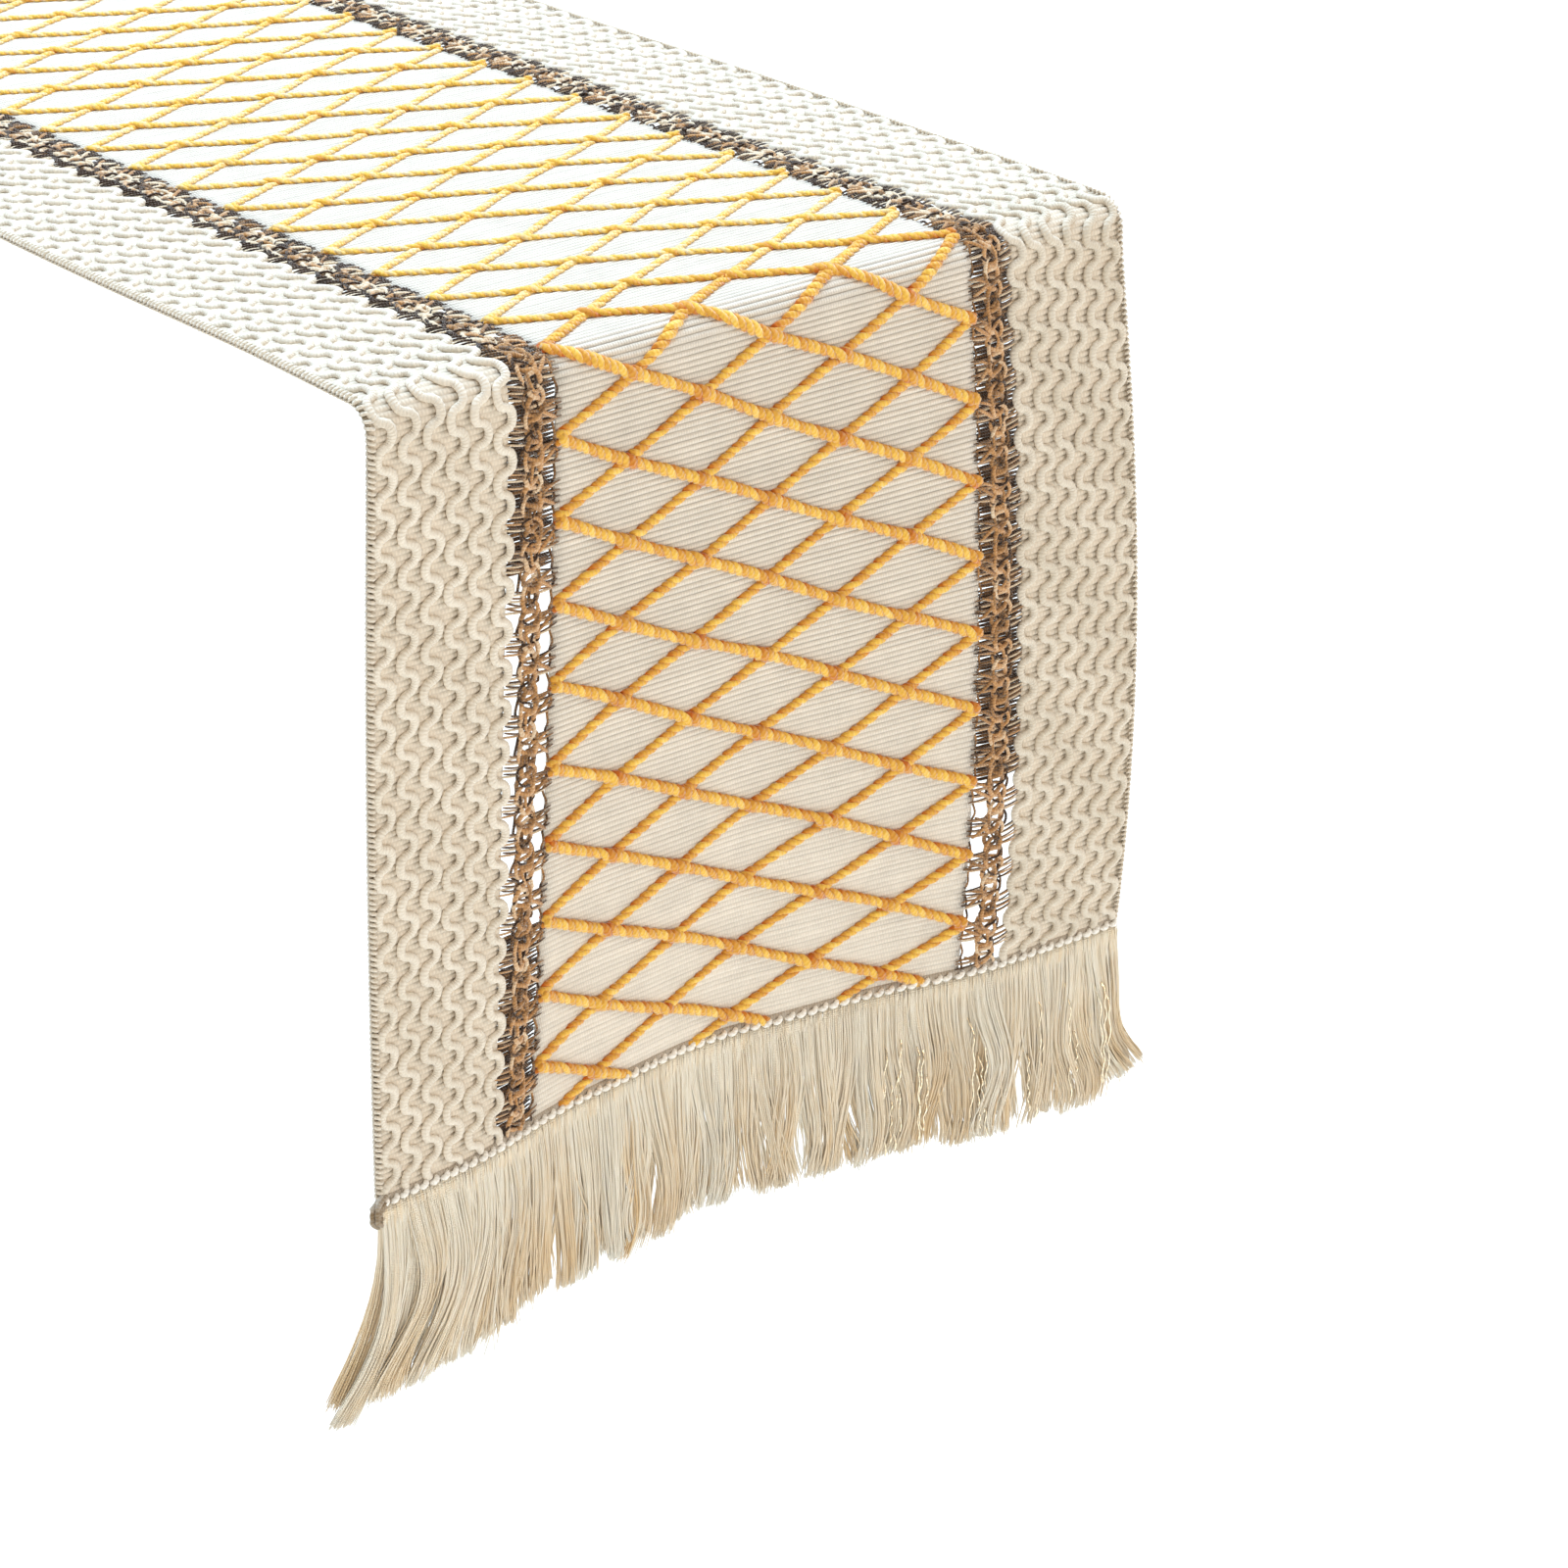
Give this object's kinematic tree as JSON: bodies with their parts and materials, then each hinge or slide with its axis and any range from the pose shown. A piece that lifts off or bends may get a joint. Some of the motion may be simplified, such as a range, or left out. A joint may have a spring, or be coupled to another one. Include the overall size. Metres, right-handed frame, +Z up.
{
  "type": "table runner",
  "caption": "Woven cotton table runner draped over a table: diamond lattice centre panel, brown openwork strips, wave-textured bands, and fringed ends that hang down.",
  "frame": {"origin": "middle of the underside of the flat run, where the cloth rests on the table top", "axes": "+X across the runner, +Y along its length from the front end to the rear end, +Z up, away from the table top"},
  "size_m": [0.3328, 1.1636, 0.341],
  "materials": {
    "panel_cotton": "plain-weave undyed cotton, matt",
    "band_cotton": "ribbed undyed cotton, matt",
    "openwork_jute": "taupe brown open-worked yarn, matt",
    "mustard_cord": "mustard twisted cotton cord, matt",
    "hem_cotton": "undyed cotton hem and whip stitches, matt",
    "fringe_cotton": "loose cut cotton strands, matt",
    "lurex": "shiny metallic thread"
  },
  "bodies": {
    "top_run": {"top_left_band": "band_cotton", "front_fold_left_band": "band_cotton", "rear_fold_left_band": "band_cotton", "top_left_openwork": "openwork_jute", "front_fold_left_openwork": "openwork_jute", "rear_fold_left_openwork": "openwork_jute", "top_centre_panel": "panel_cotton", "front_fold_centre_panel": "panel_cotton", "rear_fold_centre_panel": "panel_cotton", "top_right_openwork": "openwork_jute", "front_fold_right_openwork": "openwork_jute", "rear_fold_right_openwork": "openwork_jute", "top_right_band": "band_cotton", "front_fold_right_band": "band_cotton", "rear_fold_right_band": "band_cotton", "top_falling_cords": "mustard_cord", "top_rising_cords": "mustard_cord"},
    "front_drop": {"front_drop_left_band": "band_cotton", "front_drop_left_openwork": "openwork_jute", "front_drop_centre_panel": "panel_cotton", "front_drop_right_openwork": "openwork_jute", "front_drop_right_band": "band_cotton", "front_drop_falling_cords": "mustard_cord", "front_drop_rising_cords": "mustard_cord", "front_hem": "hem_cotton", "front_hem_stitches": "hem_cotton"},
    "front_fringe": {"front_fringe_header": "fringe_cotton", "front_fringe_strands": "fringe_cotton", "front_lurex_strands": "lurex"},
    "rear_drop": {"rear_drop_left_band": "band_cotton", "rear_drop_left_openwork": "openwork_jute", "rear_drop_centre_panel": "panel_cotton", "rear_drop_right_openwork": "openwork_jute", "rear_drop_right_band": "band_cotton", "rear_drop_falling_cords": "mustard_cord", "rear_drop_rising_cords": "mustard_cord", "rear_hem": "hem_cotton", "rear_hem_stitches": "hem_cotton"},
    "rear_fringe": {"rear_fringe_header": "fringe_cotton", "rear_fringe_strands": "fringe_cotton", "rear_lurex_strands": "lurex"}
  },
  "joints": [
    {"name": "front_fold", "type": "hinge", "parent": "top_run", "child": "front_drop", "pos_m": [0, -0.57628, -0.00172], "axis": [-1, 0, 0], "range_deg": [0, 90]},
    {"name": "front_fringe_swing", "type": "hinge", "parent": "front_drop", "child": "front_fringe", "pos_m": [0, -0.57925, -0.26775], "axis": [-1, 0, 0], "range_deg": [-35, 35]},
    {"name": "rear_fold", "type": "hinge", "parent": "top_run", "child": "rear_drop", "pos_m": [0, 0.57628, -0.00172], "axis": [1, 0, 0], "range_deg": [0, 90]},
    {"name": "rear_fringe_swing", "type": "hinge", "parent": "rear_drop", "child": "rear_fringe", "pos_m": [0, 0.57925, -0.26775], "axis": [1, 0, 0], "range_deg": [-35, 35]}
  ]
}
